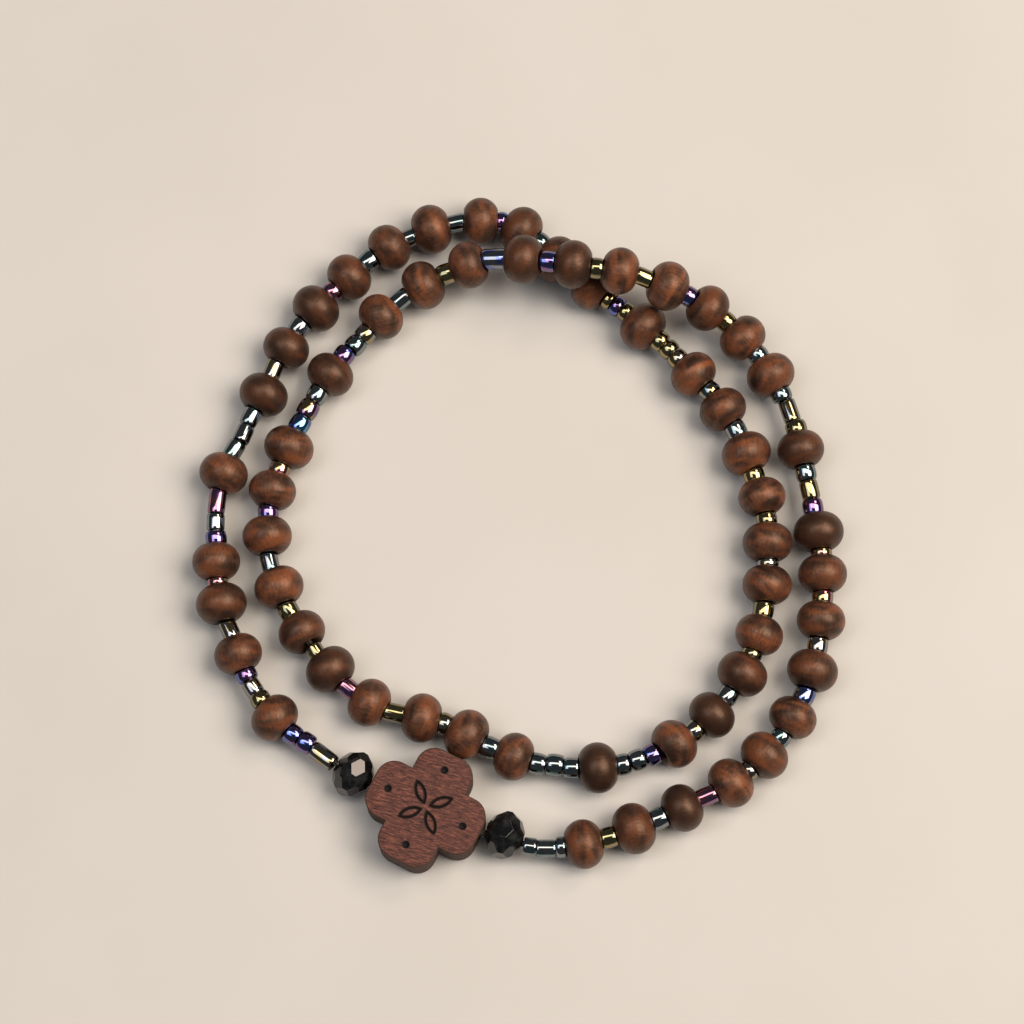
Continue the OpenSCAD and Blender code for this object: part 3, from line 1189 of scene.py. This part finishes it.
    def wall(self) -> Patch:
        """The wall of stacked outlines and the flat back, open at the face and at the bore's two ends.

        On the sanded edge the inset is e (1 - sin a) and the height e (1 - cos a), for an angle a
        from 0 to 90 degrees and the edge's radius e.

        Returns:
            The wall's patch, from the bottom up.
        """
        angle = np.linspace(0, np.pi / 2, self.edge_points)
        insets, heights = self.edge * (1 - np.sin(angle)), self.edge * (1 - np.cos(angle))
        rings = [self.outline(inset) for inset in (*insets, *insets[::-1])]
        heights = np.concatenate([heights, self.thickness - heights[::-1]])
        around = len(rings[0])
        points = np.column_stack([np.vstack(rings), np.repeat(heights, around)])
        quads = grid_faces(len(rings), around, ring=False)
        # The bore leaves through the flat end of the first arm and of the third, between their corners
        arm = 1 + 2 * self.arc_points
        ends = (self.arc_points, self.arc_points + 2 * arm)
        at_bore = (quads[:, 0] // around == self.edge_points - 1) & np.isin(quads[:, 0] % around, ends)
        back = list(range(around))[::-1]
        side = np.ones(len(points))
        side[:around] = side[-around:] = 0
        return Patch(points, [*quads[~at_bore].tolist(), back], np.zeros(len(points)), side)

    def face(self) -> Patch:
        """The engraved face: triangles between the outline and the loops of the engraving.

        Returns:
            The face's patch, sunk where it is engraved.
        """
        loops = [(self.outline(self.edge), 0.0, 0.0), *self.engraving()]
        flat, faces, source = filled([loop for loop, _, _ in loops])
        # Each point's depth and burn are those of the loop that it comes from
        levels = np.vstack([np.tile(level, (len(loop), 1)) for loop, *level in loops])[source]
        points = np.column_stack([flat, self.thickness - levels[:, 0]])
        return Patch(points, faces, levels[:, 1], np.zeros(len(points)))

    def arm_ends(self) -> list[Patch]:
        """The flat ends of the drilled arm, with the bore's round hole.

        Returns:
            A patch for each end.
        """
        side = self.arm / 2 - self.corner
        low, high = self.edge, self.thickness - self.edge
        rim = np.array([[-side, low], [side, low], [side, high], [-side, high]])
        flat, faces, _ = filled([rim, self.bore_loop()])
        # A triangle in the hole has its middle nearer than the hole's straight edges
        nearest = self.bore / 2 * np.cos(np.pi / self.bore_points)
        middles = flat[np.array(faces)].mean(axis=1) - (0, self.thickness / 2)
        kept = [face for face, middle in zip(faces, middles) if np.hypot(*middle) > nearest]
        patches = []
        for way in (1, -1):
            end = np.full(len(flat), way * self.length / 2)
            points = np.column_stack([end, way * flat[:, 0], flat[:, 1]])
            patches.append(Patch(points, kept, np.zeros(len(flat)), np.ones(len(flat))))
        return patches

    def tube(self) -> Patch:
        """The bore's wall: its circle carried from one end of the arm to the other.

        Returns:
            The tube's patch, which faces its own middle.
        """
        loop = self.bore_loop()
        count = len(loop)
        ends = [np.column_stack([np.full(count, x), loop]) for x in (-self.length / 2, self.length / 2)]
        faces = grid_faces(2, count, ring=False).tolist()
        return Patch(np.vstack(ends), faces, np.full(2 * count, self.bore_burn), np.ones(2 * count))

    def build(self, name: str, material: bpy.types.Material) -> None:
        """Makes the cross from its wall, its engraved face, the ends of its drilled arm and the bore.

        Args:
            name: The piece's name.
            material: Its wood.
        """
        patches = (self.wall(), self.face(), *self.arm_ends(), self.tube())
        faces, start = [], 0
        for patch in patches:
            faces += [[start + i for i in face] for face in patch.faces]
            start += len(patch.points)
        points = np.vstack([patch.points for patch in patches])
        points = points @ turn(2, np.radians(self.turned))[0].T + (*self.at, 0)
        piece = make_piece(name, points, faces, material, sharp_angle=35.0)
        add_attribute(piece, "burn", np.concatenate([patch.burn for patch in patches]))
        add_attribute(piece, "side", np.concatenate([patch.side for patch in patches]))
        shape = bmesh.new()
        shape.from_mesh(piece.data)
        bmesh.ops.remove_doubles(shape, verts=shape.verts, dist=self.weld * MM)
        shape.to_mesh(piece.data)
        shape.free()
        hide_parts("cross_pendant")


@dataclass(frozen=True)
class BraidedThread:
    """Dark braided elastic cord: dull fibres in fine slanted bundles.

    Args:
        dark: Colour between the bundles.
        pale: Colour on them.
        bundle: Width of a bundle in millimetres.
    """

    dark: str = "#1d1815"
    pale: str = "#4a403a"
    bundle: float = 0.2

    def material(self) -> bpy.types.Material:
        """Builds the node material.

        Returns:
            The fibre material.
        """
        material, add = new_material("braided_elastic_fibre")
        place = add("ShaderNodeTexCoord").outputs["Object"]
        # A wave texture of scale 1 has a band about every 0.3 units
        weave = add(
            "ShaderNodeTexWave",
            {"Vector": place, "Scale": 0.3 / (self.bundle * MM), "Distortion": 1.5, "Detail": 1.0},
            bands_direction="DIAGONAL",
        ).outputs["Fac"]
        colour = add("ShaderNodeValToRGB", {"Fac": weave}, ((0.2, self.dark), (0.9, self.pale))).outputs[0]
        bump = add("ShaderNodeBump", {"Height": weave, "Distance": 0.04 * MM, "Strength": 0.8}).outputs[0]
        finish_material(add, {"Base Color": colour, "Roughness": 0.85, "IOR": 1.5, "Normal": bump})
        return material


@dataclass(frozen=True)
class PaintedBoard:
    """Board with matt paint on it: no highlights, and the faintest mottle so that it isn't quite flat.

    Args:
        body: Its colour.
        shade: Its colour in the faint darker clouds.
        cloud: Size of these clouds, in millimetres.
    """

    body: str = "#c0bfbc"
    shade: str = "#bbbab6"
    cloud: float = 100 / 3

    def material(self) -> bpy.types.Material:
        """Builds the node material.

        Returns:
            The painted board.
        """
        material, add = new_material("matt_painted_board")
        place = add("ShaderNodeTexCoord").outputs["Object"]
        clouds = add("ShaderNodeTexNoise", {"Vector": place, "Scale": 1 / (self.cloud * MM), "Detail": 4.0})
        stops = (0.3, self.shade), (0.7, self.body)
        colour = add("ShaderNodeValToRGB", {"Fac": clouds.outputs["Fac"]}, stops)
        finish_material(add, {"Base Color": colour.outputs[0], "Roughness": 0.9, "IOR": 1.45})
        return material


@dataclass(frozen=True)
class Softbox:
    """One rectangular studio lamp that faces the middle of the bracelet.

    Args:
        name: Its name.
        towards: Direction from the bracelet to the lamp.
        distance: Metres from the bracelet.
        size: Width and height in metres.
        power: Watts.
        colour: Its hex colour.
    """

    name: str
    towards: tuple[float, float, float]
    distance: float
    size: tuple[float, float]
    power: float
    colour: str

    def place(self, middle: Vector) -> None:
        """Adds the lamp, turned to the middle of the bracelet with its width level.

        Args:
            middle: The middle of the bracelet.
        """
        data = bpy.data.lights.new(self.name, "AREA")
        data.shape = "RECTANGLE"
        data.size, data.size_y = self.size
        data.energy = self.power
        data.color = linear(self.colour)[:3]
        lamp = add_object(self.name, data)
        way = Vector(self.towards).normalized()
        across = (Vector((1, 0, 0)) - way * way.x).normalized()
        lamp.location = middle + way * self.distance
        lamp.rotation_euler = Matrix((across, way.cross(across), way)).transposed().to_euler()


@dataclass
class Studio:
    """Camera at the photograph's angle, a pale floor and soft light.

    Args:
        elevation: The camera's height angle, in degrees.
        distance: Millimetres from the camera to what it aims at.
        aim: What the camera aims at, in millimetres.
        lens: The camera's focal length, in millimetres.
        sensor: Width of its sensor, in millimetres.
        nearest: Metres in front of it where its view begins.
        floor_size: Width of the floor in metres.
        room: Colour of the even light from the room.
        room_light: Its strength.
        lamps: The windows and the lamp that the beads mirror.
    """

    elevation: float = 76.0
    distance: float = 300.0
    aim: tuple[float, float, float] = (-1.0, 2.0, 0.0)
    lens: float = 106.5
    sensor: float = 36.0
    nearest: float = 0.01
    floor_size: float = 3.0
    room: str = "#e8ebf0"
    room_light: float = 0.10
    lamps: tuple[Softbox, ...] = (
        Softbox("window_left", (-0.50, -0.08, 0.86), 0.8, (0.34, 0.44), 1.35, "#f3f5ff"),
        Softbox("window_right", (0.57, -0.03, 0.82), 0.8, (0.52, 0.46), 6.5, "#fff0e0"),
        Softbox("window_overhead", (0.05, 0.10, 0.99), 0.8, (0.80, 0.22), 2.7, "#fff1e2"),
        Softbox("lamp_far_right", (0.46, 0.44, 0.79), 0.7, (0.20, 0.16), 1.0, "#ffe8d6"),
    )

    def set_camera(self) -> None:
        """Points the camera at the bracelet at the photograph's angle."""
        data = bpy.data.cameras.new("photo_camera")
        data.sensor_width = self.sensor
        data.lens = self.lens
        data.clip_start = self.nearest
        camera = add_object("photo_camera", data)
        height = np.radians(self.elevation)
        back = Vector((0.0, -np.cos(height), np.sin(height)))
        camera.location = Vector(self.aim) * MM + back * self.distance * MM
        camera.rotation_euler = (-back).to_track_quat("-Z", "Y").to_euler()
        bpy.context.scene.camera = camera

    def set_floor(self) -> None:
        """Lays a pale floor under the beads."""
        half = self.floor_size / 2
        corners = [(-half, -half, 0), (half, -half, 0), (half, half, 0), (-half, half, 0)]
        mesh = bpy.data.meshes.new("floor")
        mesh.from_pydata(corners, [], [(0, 1, 2, 3)])
        mesh.materials.append(PaintedBoard().material())
        floor = add_object("floor", mesh)

    def set_light(self) -> None:
        """Adds the lamps and a dim, even room light."""
        scene = bpy.context.scene
        scene.view_settings.view_transform = "Standard"
        world = bpy.data.worlds.new("room")
        world.use_nodes = True
        room = world.node_tree.nodes["Background"].inputs
        room["Color"].default_value = linear(self.room)
        room["Strength"].default_value = self.room_light
        scene.world = world
        for lamp in self.lamps:
            lamp.place(Vector(self.aim) * MM)


def main() -> None:
    """Builds the studio and every piece in turn."""
    logging.basicConfig(level=logging.INFO, format="%(name)s %(message)s")
    studio = Studio()
    studio.set_camera()
    studio.set_floor()
    studio.set_light()

    strand = Strand()
    cross = Cross()
    cross.build("cross_of_raw_wood", RawCrossWood().material())
    black = BlackBeads()
    black_glass = BlackGlass().material()
    for node in ("black_bead_left", "black_bead_right"):
        black.build(node, black_glass)
    outer_face = cross.length / 2 + black.gap + black.length

    wood = WoodBeads(strand, first_s=outer_face + FIRST_SPACER + WoodBeads.length / 2)
    stained = StainedBeadWood().material()
    wood.build("wood_beads_turned_first", "wood_beads_first_wrap", 0, FIRST_WRAP_BEADS, stained)
    wood.build("wood_beads_turned_second", "wood_beads_second_wrap", FIRST_WRAP_BEADS, len(wood.s), stained)
    seeds = SeedBeads(wood, outer_face, strand.length - outer_face)
    seeds.build("seed_beads", IrisGlass().material())

    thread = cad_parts["thread"]
    thread.data.materials.clear()
    thread.data.materials.append(BraidedThread().material())
    log.info("thread: %.1f mm long", strand.length)


if __name__ == "__main__":
    main()
